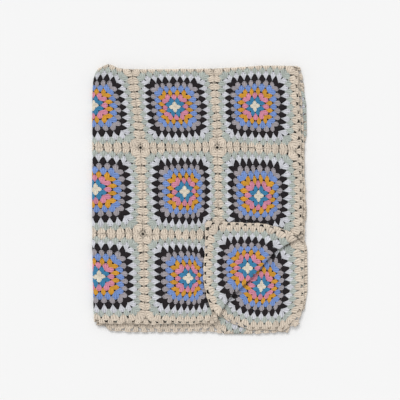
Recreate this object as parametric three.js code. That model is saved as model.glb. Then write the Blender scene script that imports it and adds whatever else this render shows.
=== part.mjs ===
// A crocheted throw of 5 by 6 granny squares, folded in quarters and lying flat, with one corner of
// its top layer turned back and two rims of its third layer tucked under. Millimetres, +Z up,
// origin at the middle of the underside.
//
// The cloth starts as one flat sheet: u runs across it, v along it, and w is the height above its
// middle surface. It is cut into convex cells along the lines that it later bends about. Then each
// corner of each cell is carried through the corner turn, the two folds, the uneven lie and the
// tucks.

import * as THREE from 'three';
import { mergeVertices } from 'three/addons/utils/BufferGeometryUtils.js';

// The cloth
const SQUARE = 258;
const COLUMNS = 5;
const ROWS = 6;
const BORDER = 12;
const THICKNESS = 3.6;
const HALF_WIDTH = COLUMNS * SQUARE / 2 + BORDER;
const HALF_LENGTH = ROWS * SQUARE / 2 + BORDER;

// The folds. The top fold runs across the cloth just beside the middle seam, and the side fold runs
// along the middle column and leans away from its centre line towards the open end.
const LAYER_PITCH = 5.5;
const TOP_FOLD_RADIUS = LAYER_PITCH / 2;
const TOP_FOLD_V = -8;
const SIDE_FOLD_MIDDLE = LAYER_PITCH;
const SIDE_FOLD_AT_TOP = -10;
const SIDE_FOLD_AT_HEM = 12;
const PLAN_LENGTH = HALF_LENGTH + TOP_FOLD_V;

// The turned-back corner: where the chord of its crease would meet the side and the hem, measured
// from the corner, and how much the crease bows towards the corner at its ends
const TURN_UP_SIDE = 318;
const TURN_ALONG_HEM = 346;
const TURN_BOW = 0.0009;
const TURN_RADIUS = 3.2;
const TURN_REACH = 110;

// Where the turned corner square lies: its middle on the flat cloth and in the pile, its scale
// across the pile and up it, and how far it is tilted
const TURNED_SQUARE = {
  u: 2 * SQUARE,
  v: -2.5 * SQUARE,
  right: 469,
  down: 617,
  scaleAcross: 0.96,
  scaleUp: 1.055,
  tilt: 2.3,
};

// Where the seam crossings of the top layer lie, from the corner where the two folds meet.
// across and along count squares from the folds, right and down are millimetres.
const CROSSINGS = [
  { across: 0.0, along: 0, right: 0, down: 0 },
  { across: 0.5, along: 0, right: 119, down: 1 },
  { across: 1.5, along: 0, right: 374, down: -1 },
  { across: 2.5, along: 0, right: 634, down: -7 },
  { across: 0.0, along: 1, right: 0, down: 236 },
  { across: 0.5, along: 1, right: 142, down: 240 },
  { across: 1.5, along: 1, right: 380, down: 237 },
  { across: 2.5, along: 1, right: 641, down: 252 },
  { across: 0.0, along: 2, right: 0, down: 502 },
  { across: 0.5, along: 2, right: 143, down: 505 },
  { across: 1.5, along: 2, right: 377, down: 509 },
  { across: 2.5, along: 2, right: 638, down: 515 },
  { across: 0.0, along: 3, right: 6, down: 779 },
  { across: 0.5, along: 3, right: 145, down: 783 },
  { across: 1.5, along: 3, right: 372, down: 782 },
  { across: 2.5, along: 3, right: 635, down: 795 },
];

// How far the centres of single squares have drifted from the middle of their seams
const DRIFTS = [
  { across: 1, along: 0.5, right: -6, down: 3 },
  { across: 1, along: 1.5, right: 9, down: 3 },
  { across: 1, along: 2.5, right: 19, down: 0 },
  { across: 2, along: 0.5, right: 0, down: 3 },
  { across: 2, along: 1.5, right: 8, down: 15 },
  { across: 2, along: 2.5, right: 15, down: 9 },
];

// The ripples of the top fold: where each is, how far it stands out and how wide it is
const RIPPLES = [
  { at: 36, out: 14, spread: 34 },
  { at: 540, out: 6, spread: 100 },
];
const RIPPLE_DEPTH = 60;
const CORNER_EASE = 17;
const CORNER_EASE_DOWN = 24;
const CORNER_EASE_ACROSS = 50;

// How each lower layer lies beyond the top layer. side is its shift to the right at the open side,
// given at shares of the way from the top fold to the hem. hem is its shift down at the open end,
// given at points across the width. corner is how far its free corner is drawn right and down.
const SIDE_POINTS = [0, 0.04, 0.12, 0.5, 0.86, 1];
const HEM_POINTS = [0, 14, 38, 200, 370, 400, 455, 510, 610, 660];
const LAYERS = {
  second: {
    side: [0, 2, 9, 8, 1, 0],
    hem: [0, -2, -3, -8, -30, -27, -4, 10, 8, -6],
    corner: [-23, -6],
  },
  third: {
    side: [0, 5, 47, 50, 62, 16],
    hem: [0, 2, 18, 18, 18, 24, 60, 22, 12, -4],
    corner: [-32, 0],
  },
  fourth: {
    side: [0, -3, -12, -8, 18, -12],
    hem: [0, -6, -10, -10, -12, -16, -20, -14, -14, -14],
    corner: [0, 0],
  },
};
const CORNER_REACH = 45;
const SIDE_GROWTH = 2;
const HEM_GROWTH = 4;

// The two rims of the third layer that are tucked under: its hem, past one line across the pile,
// and its open side, past a line that wanders down the pile
const TUCK_RADIUS = LAYER_PITCH / 2;
const TUCKED_LEVEL = TOP_FOLD_RADIUS - SIDE_FOLD_MIDDLE;
const HEM_TUCK_DOWN = 811;
const SIDE_TUCK = [
  { down: 0, right: 638 },
  { down: 65, right: 642 },
  { down: 110, right: 648 },
  { down: 196, right: 649 },
  { down: 236, right: 643 },
  { down: 385, right: 643 },
  { down: 415, right: 649 },
  { down: 450, right: 649 },
  { down: 485, right: 643 },
  { down: 515, right: 643 },
  { down: 555, right: 651 },
  { down: 670, right: 652 },
  { down: 735, right: 644 },
  { down: 790, right: 606 },
  { down: 815, right: 598 },
];

// The upper layers rise a little over the middle of the pile, whose underside lies flat
const SWELL = 1.6;

// Facets: lines over each square, the places across the flat cloth where its rim bends sharply and
// more lines run, steps round each bend, and the least gap between two lines
const LINES_PER_SQUARE = 6;
const RIM_LINES = [-532, -526, -58, -50];
const BEND_STEPS = 6;
const TUCK_STEPS = 5;
const LEAST_GAP = 1;

// How near counts as on a cutting line, as on the edge of the cloth, and as the same corner
const ON_LINE = 1e-6;
const ON_EDGE = 1e-4;
const SAME_CORNER = 1e-3;

/** The four cubic weights that pass through the four given knots, at t. */
function cubicWeights(knots, t) {
  return knots.map((knot, i) => {
    let weight = 1;
    knots.forEach((other, j) => {
      if (j !== i) weight *= (t - other) / (knot - other);
    });
    return weight;
  });
}

/** The value at t of straight runs between points. */
function alongRuns(points, values, t) {
  let i = 1;
  while (i < points.length - 1 && t > points[i]) i += 1;
  const share = THREE.MathUtils.clamp((t - points[i - 1]) / (points[i] - points[i - 1]), 0, 1);
  return THREE.MathUtils.lerp(values[i - 1], values[i], THREE.MathUtils.smoothstep(share, 0, 1));
}

const ACROSS_KNOTS = [0, SQUARE / 2, 3 * SQUARE / 2, HALF_WIDTH];
const ALONG_KNOTS = [0, SQUARE + TOP_FOLD_V, 2 * SQUARE + TOP_FOLD_V, PLAN_LENGTH];

/** Plan position of a point, from its distances across and along from the two folds. */
function lie(across, along) {
  const acrossWeights = cubicWeights(ACROSS_KNOTS, Math.max(across, 0));
  const alongWeights = cubicWeights(ALONG_KNOTS, Math.max(along, 0));
  let right = Math.min(across, 0);
  let down = Math.min(along, 0);
  CROSSINGS.forEach((crossing, i) => {
    const weight = acrossWeights[i % ACROSS_KNOTS.length]
      * alongWeights[Math.floor(i / ACROSS_KNOTS.length)];
    right += weight * crossing.right;
    down += weight * crossing.down;
  });
  for (const drift of DRIFTS) {
    const a = Math.abs(across - drift.across * SQUARE) / SQUARE;
    const b = Math.abs(along - drift.along * SQUARE - TOP_FOLD_V) / SQUARE;
    if (a < 0.5 && b < 0.5) {
      const weight = (Math.cos(Math.PI * a) * Math.cos(Math.PI * b)) ** 2;
      right += weight * drift.right;
      down += weight * drift.down;
    }
  }
  const nearTop = Math.exp(-Math.max(along, 0) / RIPPLE_DEPTH);
  for (const ripple of RIPPLES) {
    down -= ripple.out * nearTop * Math.exp(-(((across - ripple.at) / ripple.spread) ** 2));
  }
  right += CORNER_EASE * Math.exp(-Math.max(along, 0) / CORNER_EASE_DOWN)
    * Math.exp(-Math.max(across, 0) / CORNER_EASE_ACROSS);
  return { right, down };
}

/** Plan position of a point of the turned corner, which lies as a stiff flap of its own. */
function lieTurned(u, v) {
  const tilt = THREE.MathUtils.degToRad(TURNED_SQUARE.tilt);
  const sideways = (v - TURNED_SQUARE.v) * TURNED_SQUARE.scaleAcross;
  const upwards = (u - TURNED_SQUARE.u) * TURNED_SQUARE.scaleUp;
  return {
    right: TURNED_SQUARE.right + sideways * Math.cos(tilt) + upwards * Math.sin(tilt),
    down: TURNED_SQUARE.down + sideways * Math.sin(tilt) - upwards * Math.cos(tilt),
  };
}

// The chord of the crease, as a point on it and its outward direction
const TURN_OUT = new THREE.Vector2(TURN_UP_SIDE, -TURN_ALONG_HEM).normalize();
const CORNER = new THREE.Vector2(HALF_WIDTH, -HALF_LENGTH);
const CORNER_BEYOND = TURN_UP_SIDE * Math.abs(TURN_OUT.y);

/** Distance of a point of the flat cloth beyond the crease, towards the corner. */
function beyondCrease(u, v) {
  const right = u - CORNER.x;
  const up = v - CORNER.y;
  const out = right * TURN_OUT.x + up * TURN_OUT.y;
  const sideways = up * TURN_OUT.x - right * TURN_OUT.y;
  return CORNER_BEYOND + out - TURN_BOW * sideways ** 2;
}

/** Turns the corner back over the cloth: points before the crease stay. */
function turnCorner(u, v, w) {
  const s = beyondCrease(u, v);
  if (s <= 0) return { u, v, w, turned: 0 };
  const angle = Math.min(s / TURN_RADIUS, Math.PI);
  const arm = TURN_RADIUS - w;
  const over = Math.max(s - Math.PI * TURN_RADIUS, 0);
  const reach = arm * Math.sin(angle) - over;
  const shift = reach - s;
  return {
    u: u + shift * TURN_OUT.x,
    v: v + shift * TURN_OUT.y,
    w: TURN_RADIUS - arm * Math.cos(angle),
    turned: THREE.MathUtils.smoothstep(s, 0, TURN_REACH),
  };
}

/** How far the side fold lies from the middle of the cloth, at v. */
function lean(v) {
  const share = Math.abs(v - TOP_FOLD_V) / PLAN_LENGTH;
  return THREE.MathUtils.lerp(SIDE_FOLD_AT_TOP, SIDE_FOLD_AT_HEM, share);
}

/** Extra plan shift of a lower layer, growing from nothing at the folds that join it to the top. */
function layerShift(layer, across, along) {
  const acrossShare = Math.max(across, 0) / HALF_WIDTH;
  const alongShare = Math.max(along, 0) / PLAN_LENGTH;
  const { side, hem, corner } = LAYERS[layer];
  const fromCorner = Math.hypot(HALF_WIDTH - across, PLAN_LENGTH - along);
  const drawn = Math.exp(-((fromCorner / CORNER_REACH) ** 2));
  return {
    right: alongRuns(SIDE_POINTS, side, alongShare) * acrossShare ** SIDE_GROWTH + corner[0] * drawn,
    down: alongRuns(HEM_POINTS, hem, across) * alongShare ** HEM_GROWTH + corner[1] * drawn,
  };
}

/**
 * Lays a point of the flat cloth in the pile, but for the tucks: how far right and down it is, its
 * level from the middle of the pile, its layer, and how far across and along from the folds.
 */
function lay(flatU, flatV, flatW) {
  const { u, v, w, turned } = turnCorner(flatU, flatV, flatW);
  const fromSide = u + lean(v);
  const pastTop = v - TOP_FOLD_V;

  // the top fold: what is past it goes under
  const topAngle = THREE.MathUtils.clamp(pastTop / TOP_FOLD_RADIUS, 0, Math.PI);
  const topArm = TOP_FOLD_RADIUS + w;
  const midHeight = SIDE_FOLD_MIDDLE + TOP_FOLD_RADIUS * Math.cos(topAngle);
  const height = SIDE_FOLD_MIDDLE + topArm * Math.cos(topAngle);
  let along = pastTop <= 0 ? -pastTop : Math.max(pastTop - Math.PI * TOP_FOLD_RADIUS, 0);
  along -= topArm * Math.sin(topAngle);

  // the side fold: both layers go under
  const past = Math.max(-fromSide, 0);
  const sideAngle = Math.min(past / midHeight, Math.PI);
  const across = Math.max(fromSide, 0) + Math.max(past - Math.PI * midHeight, 0)
    - height * Math.sin(sideAngle);
  const level = height * Math.cos(sideAngle);

  const spot = lie(across, along);
  const flap = lieTurned(flatU, flatV);
  let right = THREE.MathUtils.lerp(spot.right, flap.right, turned);
  let down = THREE.MathUtils.lerp(spot.down, flap.down, turned);
  const upper = pastTop <= 0;
  const near = fromSide >= 0;
  let layer = 'top';
  if (!(upper && near)) {
    layer = near ? 'second' : (upper ? 'fourth' : 'third');
    const shift = layerShift(layer, across, along);
    right += shift.right;
    down += shift.down;
  }
  return { right, down, level, layer, across, along };
}

const SIDE_TUCK_DOWN = SIDE_TUCK.map((point) => point.down);
const SIDE_TUCK_RIGHT = SIDE_TUCK.map((point) => point.right);

/** How far a laid point is past the line of the side tuck, negative before it. */
function pastSideTuck(spot) {
  if (spot.layer !== 'third') return -1;
  return spot.right - alongRuns(SIDE_TUCK_DOWN, SIDE_TUCK_RIGHT, spot.down);
}

/** How far a laid point is past the line of the hem tuck, negative before it. */
function pastHemTuck(spot) {
  return spot.layer === 'third' ? spot.down - HEM_TUCK_DOWN : -1;
}

/** Carries a point round a tuck: its new distance past the tuck's line, and its new level. */
function tuck(past, level) {
  if (past <= 0) return { past, level };
  const angle = Math.min(past / TUCK_RADIUS, Math.PI);
  const arm = TUCK_RADIUS + level - TUCKED_LEVEL;
  return {
    past: arm * Math.sin(angle) - Math.max(past - Math.PI * TUCK_RADIUS, 0),
    level: TUCKED_LEVEL - TUCK_RADIUS + arm * Math.cos(angle),
  };
}

/** Carries a point of the flat cloth to its place in the folded throw. */
function place(flatU, flatV, flatW) {
  const spot = lay(flatU, flatV, flatW);
  const pastHem = pastHemTuck(spot);
  const hem = tuck(pastHem, spot.level);
  const pastSide = pastSideTuck(spot);
  const side = tuck(pastSide, hem.level);
  const right = spot.right + side.past - pastSide;
  const down = spot.down + hem.past - pastHem;
  const { level } = side;

  const middleOfPile = SIDE_FOLD_MIDDLE + TOP_FOLD_RADIUS;
  const rise = SWELL * Math.max(level + middleOfPile, 0) / (2 * middleOfPile)
    * Math.sin(Math.PI * THREE.MathUtils.clamp(spot.across / HALF_WIDTH, 0, 1)) ** 2
    * Math.sin(Math.PI * THREE.MathUtils.clamp(spot.along / PLAN_LENGTH, 0, 1)) ** 2;
  return new THREE.Vector3(right, -down, level + middleOfPile + THICKNESS / 2 + rise);
}

/** Cuts each convex cell in two along the line where side(u, v) is zero. */
function cutCells(cells, side) {
  const pieces = [];
  for (const cell of cells) {
    const sides = cell.map((corner) => side(corner.x, corner.y));
    const kept = { over: [], under: [] };
    cell.forEach((corner, i) => {
      const j = (i + 1) % cell.length;
      if (sides[i] >= -ON_LINE) kept.over.push(corner);
      if (sides[i] <= ON_LINE) kept.under.push(corner);
      const crosses = (sides[i] > ON_LINE && sides[j] < -ON_LINE)
        || (sides[i] < -ON_LINE && sides[j] > ON_LINE);
      if (crosses) {
        const cut = corner.clone().lerp(cell[j], sides[i] / (sides[i] - sides[j]));
        kept.over.push(cut);
        kept.under.push(cut);
      }
    });
    const whole = sides.every((value) => value >= -ON_LINE)
      || sides.every((value) => value <= ON_LINE);
    if (whole) {
      pieces.push(cell);
    } else {
      pieces.push(kept.over, kept.under);
    }
  }
  return pieces;
}

/** A rectangle of the flat cloth between two values of v, its corners anticlockwise. */
function band(low, high) {
  return [
    new THREE.Vector2(-HALF_WIDTH, low),
    new THREE.Vector2(HALF_WIDTH, low),
    new THREE.Vector2(HALF_WIDTH, high),
    new THREE.Vector2(-HALF_WIDTH, high),
  ];
}

/** The flat cloth as convex cells, cut along its grid, its folds, its crease and its tucks. */
function flatCells() {
  let upper = [band(-HALF_LENGTH, TOP_FOLD_V)];
  let lower = [band(TOP_FOLD_V, HALF_LENGTH)];
  const spacing = SQUARE / LINES_PER_SQUARE;
  const bendEnd = TOP_FOLD_V + Math.PI * TOP_FOLD_RADIUS;

  for (let i = 0; i <= ROWS * LINES_PER_SQUARE; i += 1) {
    const line = (i - ROWS * LINES_PER_SQUARE / 2) * spacing;
    upper = cutCells(upper, (u, v) => v - line);
    if (line > bendEnd) lower = cutCells(lower, (u, v) => v - line);
  }
  for (let i = 1; i <= BEND_STEPS; i += 1) {
    const line = TOP_FOLD_V + Math.PI * TOP_FOLD_RADIUS * i / BEND_STEPS;
    lower = cutCells(lower, (u, v) => v - line);
  }

  const inner = Math.PI * (SIDE_FOLD_MIDDLE - TOP_FOLD_RADIUS);
  const outer = Math.PI * (SIDE_FOLD_MIDDLE + TOP_FOLD_RADIUS);
  const pastSide = [0];
  for (let i = 1; i <= BEND_STEPS; i += 1) {
    pastSide.push(inner * i / BEND_STEPS);
    if (outer * i / BEND_STEPS > inner + LEAST_GAP) pastSide.push(outer * i / BEND_STEPS);
  }
  for (const past of pastSide) {
    upper = cutCells(upper, (u, v) => u + lean(v) + past);
    lower = cutCells(lower, (u, v) => u + lean(v) + past);
  }
  let cells = upper.concat(lower);

  for (let i = 0; i <= COLUMNS * LINES_PER_SQUARE; i += 1) {
    const line = (i - COLUMNS * LINES_PER_SQUARE / 2) * spacing;
    const besideFold = line < LEAST_GAP - SIDE_FOLD_AT_TOP && line > -outer - SIDE_FOLD_AT_HEM;
    if (!besideFold) cells = cutCells(cells, (u) => u - line);
  }
  for (const line of RIM_LINES) cells = cutCells(cells, (u) => u - line);
  for (let i = 0; i <= BEND_STEPS; i += 1) {
    const past = Math.PI * TURN_RADIUS * i / BEND_STEPS;
    cells = cutCells(cells, (u, v) => beyondCrease(u, v) - past);
  }
  for (let i = 0; i <= TUCK_STEPS; i += 1) {
    const past = Math.PI * TUCK_RADIUS * i / TUCK_STEPS;
    cells = cutCells(cells, (u, v) => pastSideTuck(lay(u, v, 0)) - past);
    cells = cutCells(cells, (u, v) => pastHemTuck(lay(u, v, 0)) - past);
  }
  return cells;
}

/** The folded cloth as one closed shell: both faces of every cell, and a wall round the edge. */
function foldedCloth() {
  const positions = [];
  const put = (corner, w) => {
    const point = place(corner.x, corner.y, w);
    positions.push(point.x, point.y, point.z);
  };
  const half = THICKNESS / 2;
  const onEdge = (a, b) => {
    const onSide = [a, b].every((corner) => Math.abs(Math.abs(corner.x) - HALF_WIDTH) < ON_EDGE);
    const onEnd = [a, b].every((corner) => Math.abs(Math.abs(corner.y) - HALF_LENGTH) < ON_EDGE);
    return onSide || onEnd;
  };
  for (const cell of flatCells()) {
    for (let i = 1; i < cell.length - 1; i += 1) {
      for (const corner of [cell[0], cell[i], cell[i + 1]]) put(corner, half);
      for (const corner of [cell[0], cell[i + 1], cell[i]]) put(corner, -half);
    }
    cell.forEach((a, i) => {
      const b = cell[(i + 1) % cell.length];
      if (!onEdge(a, b)) return;
      put(a, -half);
      put(b, -half);
      put(b, half);
      put(a, -half);
      put(b, half);
      put(a, half);
    });
  }
  const geometry = new THREE.BufferGeometry();
  geometry.setAttribute('position', new THREE.Float32BufferAttribute(positions, 3));
  return mergeVertices(geometry, SAME_CORNER);
}

const cloth = foldedCloth();
cloth.computeBoundingBox();
const middle = cloth.boundingBox.getCenter(new THREE.Vector3());
cloth.translate(-middle.x, -middle.y, -cloth.boundingBox.min.z);
cloth.computeVertexNormals();

const cotton = new THREE.MeshStandardMaterial({ color: 0xe2d5c3, roughness: 0.92, metalness: 0 });
const blanket = new THREE.Mesh(cloth, cotton);
blanket.name = 'throw';

const group = new THREE.Group();
group.add(blanket);
export default group;
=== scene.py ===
"""A crocheted throw of granny squares, folded in quarters, one corner of its top turned back.

The throw is laid out flat first, in millimetres: u runs across it, v along it and w stands up from
its middle surface. FoldedPile then carries every point round the folds to its place, in metres.
"""

import logging
import math
from dataclasses import dataclass, field, replace
from enum import Enum

import bpy
import numpy as np
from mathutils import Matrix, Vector
from mathutils.bvhtree import BVHTree


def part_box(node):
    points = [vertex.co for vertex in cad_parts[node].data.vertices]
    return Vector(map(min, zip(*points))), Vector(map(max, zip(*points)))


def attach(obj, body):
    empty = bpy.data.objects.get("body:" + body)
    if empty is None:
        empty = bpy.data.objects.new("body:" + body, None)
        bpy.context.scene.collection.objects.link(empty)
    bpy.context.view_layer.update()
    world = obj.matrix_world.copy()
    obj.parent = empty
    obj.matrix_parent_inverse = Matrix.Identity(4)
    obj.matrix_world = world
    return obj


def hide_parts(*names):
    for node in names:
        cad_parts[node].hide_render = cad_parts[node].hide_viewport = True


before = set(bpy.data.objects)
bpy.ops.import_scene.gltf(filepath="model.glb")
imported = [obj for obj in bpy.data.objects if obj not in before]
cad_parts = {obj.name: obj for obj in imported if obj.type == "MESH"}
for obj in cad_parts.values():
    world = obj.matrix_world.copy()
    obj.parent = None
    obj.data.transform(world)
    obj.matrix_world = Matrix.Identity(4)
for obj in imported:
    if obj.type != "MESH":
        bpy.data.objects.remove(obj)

NODE = "throw"
METRES = 0.001
TINY = 1e-9
TONE_SPREAD = 0.5
SHEEN, DARK_SHEEN = 0.2, 0.05
Array = np.ndarray
log = logging.getLogger(NODE)


@dataclass(frozen=True)
class Tension:
    """How firmly a yarn is worked.

    overlap is how wide each post of a cluster is against its share of the cluster, stray how far
    the clusters' tops wander, in millimetres, and uneven how mottled the yarn looks.
    """

    overlap: float
    stray: float
    uneven: float


FIRM = Tension(overlap=1.22, stray=0.35, uneven=1.0)
LOOSE = Tension(overlap=1.10, stray=1.0, uneven=1.4)


class Yarn(Enum):
    """The yarns, each with its material slot and its colour in sRGB."""

    CREAM = ("yarn_cream", (0.920, 0.890, 0.815))
    TEAL = ("yarn_teal", (0.215, 0.530, 0.700))
    PINK = ("yarn_pink", (0.865, 0.560, 0.650))
    MUSTARD = ("yarn_mustard", (0.865, 0.630, 0.170))
    BLUE = ("yarn_blue", (0.480, 0.605, 0.840))
    GREY = ("yarn_grey", (0.660, 0.640, 0.660))
    BLACK = ("yarn_black", (0.125, 0.100, 0.115))
    ICE = ("yarn_ice", (0.850, 0.860, 0.885))
    MINT = ("yarn_mint", (0.715, 0.750, 0.722))
    BEIGE = ("yarn_beige", (0.885, 0.835, 0.765))

    @property
    def slot(self) -> str:
        """The record's material slot."""
        return self.value[0]

    @property
    def colour(self) -> tuple[float, float, float, float]:
        """The yarn's colour, linear, with alpha."""
        return linear(self.value[1])

    @property
    def sheen(self) -> float:
        """How fuzzy the yarn looks where light grazes it."""
        return DARK_SHEEN if self is Yarn.BLACK else SHEEN

    @property
    def tension(self) -> Tension:
        """How firmly the yarn is worked."""
        return LOOSE if self is Yarn.BEIGE else FIRM

    @property
    def round(self) -> int:
        """The round of a square that is worked in this yarn, from 1."""
        return list(Yarn).index(self) + 1


def linear(srgb: tuple[float, float, float]) -> tuple[float, float, float, float]:
    """Turn an sRGB colour into a linear one.

    Args:
        srgb: Red, green and blue from 0 to 1.

    Returns:
        Linear red, green, blue and an alpha of 1.
    """
    parts = [c / 12.92 if c <= 0.04045 else ((c + 0.055) / 1.055) ** 2.4 for c in srgb]
    return (parts[0], parts[1], parts[2], 1.0)


class Detail(Enum):
    """How finely a cluster is made: rings and sides of a post, then sides of its top chain."""

    BEND = (8, 6, 5)
    FULL = (6, 6, 5)
    PLAIN = (3, 4, 0)
    HIDDEN = (3, 3, 0)


# ---- The folded pile ----


def eased(share: Array) -> Array:
    """Shares from 0 to 1, with a smooth start and end."""
    return share * share * (3 - 2 * share)


def eased_runs(points: tuple[float, ...], values: tuple[float, ...], at: Array) -> Array:
    """Interpolate between points with eased runs.

    Args:
        points: Places of the values, rising.
        values: The values there.
        at: Where to read.

    Returns:
        The value at each place, held constant past the ends.
    """
    knots, heights = np.array(points, float), np.array(values, float)
    after = np.clip(np.searchsorted(knots, at), 1, len(knots) - 1)
    share = np.clip((at - knots[after - 1]) / (knots[after] - knots[after - 1]), 0, 1)
    return heights[after - 1] + (heights[after] - heights[after - 1]) * eased(share)


def cubic_weights(knots: tuple[float, ...], at: Array) -> list[Array]:
    """Weights of the cubic that passes through four knots."""
    weights = []
    for i, knot in enumerate(knots):
        weight = np.ones_like(at)
        for j, other in enumerate(knots):
            if j != i:
                weight = weight * (at - other) / (knot - other)
        weights.append(weight)
    return weights


def grid_faces(shape: tuple[int, ...]) -> Array:
    """Corner numbers of the faces between rows and columns of points, the last two of a shape."""
    number = np.arange(math.prod(shape)).reshape(shape)
    above, below = number[..., :-1, :], number[..., 1:, :]
    return np.stack([above[..., :-1], above[..., 1:], below[..., 1:], below[..., :-1]], -1)


def within(at: Array, ends: tuple[float, float]) -> Array:
    """Which values lie between two ends."""
    return (at > ends[0]) & (at < ends[1])


def unit(ways: Array) -> Array:
    """The same directions with a length of 1."""
    return ways / np.maximum(np.linalg.norm(ways, axis=-1, keepdims=True), TINY)


def to_right(ways: Array) -> Array:
    """Directions turned a quarter clockwise."""
    return np.stack([ways[..., 1], -ways[..., 0]], -1)


def raised(plan: Array, w: Array | float = 0.0) -> Array:
    """Flat places, each with its height above the middle surface."""
    return np.concatenate([plan, np.broadcast_to(w, plan.shape[:-1])[..., None]], -1)


def side_places(side: int, along: Array, out: Array | float) -> Array:
    """Flat places from distances along one of four sides and out from the middle."""
    turn = side * np.pi / 2
    normal = np.array([np.cos(turn), np.sin(turn)])
    beyond = np.broadcast_to(out, along.shape)[:, None] * normal
    return along[:, None] * -to_right(normal) + beyond


@dataclass(frozen=True)
class Hang:
    """How far the free edges of a lower layer hang from those of the top one.

    side is its shift right along the open side and hem its shift down along the open end, at the
    pile's side_points and hem_points. corner is how far its free corner is drawn right and down.
    """

    side: tuple[float, ...]
    hem: tuple[float, ...]
    corner: tuple[float, float]


@dataclass(frozen=True)
class FoldedPile:
    """The way the flat throw is folded and lies, with the sizes of the CAD model."""

    square: float = 258.0
    columns: int = 5
    rows: int = 6
    edging: float = 12.0
    thickness: float = 3.6
    fold_radius: float = 2.75
    side_fold_middle: float = 5.5
    top_fold_v: float = -8.0
    lean_at_top: float = -10.0
    lean_at_hem: float = 12.0
    turn_up_side: float = 318.0
    turn_along_hem: float = 346.0
    turn_bow: float = 0.0009
    turn_radius: float = 3.2
    turn_reach: float = 110.0
    turned_right: float = 469.0
    turned_down: float = 617.0
    turned_scale_across: float = 0.96
    turned_scale_up: float = 1.055
    turned_tilt: float = 2.3
    swell: float = 1.6
    ripple_depth: float = 60.0
    corner_ease: tuple[float, float, float] = (17.0, 50.0, 24.0)
    hem_tuck_down: float = 811.0
    # down and right of the line where the third layer's side is tucked under
    side_tuck: tuple[tuple[float, float], ...] = (
        (0, 638), (65, 642), (110, 648), (196, 649), (236, 643),
        (385, 643), (415, 649), (450, 649), (485, 643), (515, 643),
        (555, 651), (670, 652), (735, 644), (790, 606), (815, 598),
    )
    corner_reach: float = 45.0
    side_growth: float = 2.0
    hem_growth: float = 4.0
    # right and down of the seam crossings, four across by four along
    crossings: tuple[tuple[float, float], ...] = (
        (0, 0), (119, 1), (374, -1), (634, -7),
        (0, 236), (142, 240), (380, 237), (641, 252),
        (0, 502), (143, 505), (377, 509), (638, 515),
        (6, 779), (145, 783), (372, 782), (635, 795),
    )
    # squares across and along to a square's middle, and its drift right and down
    drifts: tuple[tuple[float, float, float, float], ...] = (
        (1, 0.5, -6, 3), (1, 1.5, 9, 3), (1, 2.5, 19, 0),
        (2, 0.5, 0, 3), (2, 1.5, 8, 15), (2, 2.5, 15, 9),
    )
    # where a ripple of the top fold is, how far it stands out and how wide it is
    ripples: tuple[tuple[float, float, float], ...] = ((36, 14, 34), (540, 6, 100))
    side_points: tuple[float, ...] = (0, 0.04, 0.12, 0.5, 0.86, 1)
    hem_points: tuple[float, ...] = (0, 14, 38, 200, 370, 400, 455, 510, 610, 660)
    second: Hang = Hang(
        side=(0, 2, 9, 8, 1, 0),
        hem=(0, -2, -3, -8, -30, -27, -4, 10, 8, -6),
        corner=(-23, -6),
    )
    third: Hang = Hang(
        side=(0, 5, 47, 50, 62, 16),
        hem=(0, 2, 18, 18, 18, 24, 60, 22, 12, -4),
        corner=(-32, 0),
    )
    fourth: Hang = Hang(
        side=(0, -3, -12, -8, 18, -12),
        hem=(0, -6, -10, -10, -12, -16, -20, -14, -14, -14),
        corner=(0, 0),
    )
    # how much of the flat cloth counts as bent: lowest and highest distance past each line
    top_bend: tuple[float, float] = (-13, 21)
    crease_bend: tuple[float, float] = (-11, 21)
    side_bend_upper: tuple[float, float] = (-36, 9)
    side_bend_lower: tuple[float, float] = (-18, 9)
    tucked_margin: float = 70.0

    @property
    def half_squares(self) -> tuple[float, float]:
        """Half of the width and of the length of the squares alone."""
        return (self.columns * self.square / 2, self.rows * self.square / 2)

    @property
    def half_width(self) -> float:
        """Half of the flat throw's width."""
        return self.half_squares[0] + self.edging

    @property
    def half_length(self) -> float:
        """Half of the flat throw's length."""
        return self.half_squares[1] + self.edging

    @property
    def plan_length(self) -> float:
        """Length of the folded pile."""
        return self.half_length + self.top_fold_v

    @property
    def flat_size(self) -> tuple[float, float]:
        """Width and length of the flat throw, in metres."""
        return (2 * self.half_width * METRES, 2 * self.half_length * METRES)

    def lean(self, v: Array) -> Array:
        """How far the side fold lies from the middle of the cloth, at v."""
        share = np.abs(v - self.top_fold_v) / self.plan_length
        return self.lean_at_top + (self.lean_at_hem - self.lean_at_top) * share

    def turn_out(self) -> tuple[float, float]:
        """Direction from the crease to the turned corner."""
        long = math.hypot(self.turn_up_side, self.turn_along_hem)
        return (self.turn_up_side / long, -self.turn_along_hem / long)

    def beyond_crease(self, u: Array, v: Array) -> Array:
        """Distance of flat points beyond the crease, towards the corner."""
        out_u, out_v = self.turn_out()
        right, up = u - self.half_width, v + self.half_length
        out = right * out_u + up * out_v
        sideways = up * out_u - right * out_v
        return self.turn_up_side * abs(out_v) + out - self.turn_bow * sideways**2

    def turn_corner(self, flat: Array) -> tuple[Array, Array, Array, Array]:
        """Turn the corner back over the cloth.

        Args:
            flat: Points u, v and w of the flat cloth.

        Returns:
            u, v and w after the turn, and how fully each point is turned, from 0 to 1.
        """
        u, v, w = flat[:, 0], flat[:, 1], flat[:, 2]
        out_u, out_v = self.turn_out()
        beyond = self.beyond_crease(u, v)
        past = np.maximum(beyond, 0)
        angle = np.minimum(past / self.turn_radius, np.pi)
        arm = self.turn_radius - w
        reach = arm * np.sin(angle) - np.maximum(past - np.pi * self.turn_radius, 0)
        shift = np.where(beyond > 0, reach - past, 0)
        lifted = np.where(beyond > 0, self.turn_radius - arm * np.cos(angle), w)
        turned = eased(np.clip(past / self.turn_reach, 0, 1))
        return u + shift * out_u, v + shift * out_v, lifted, turned

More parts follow.
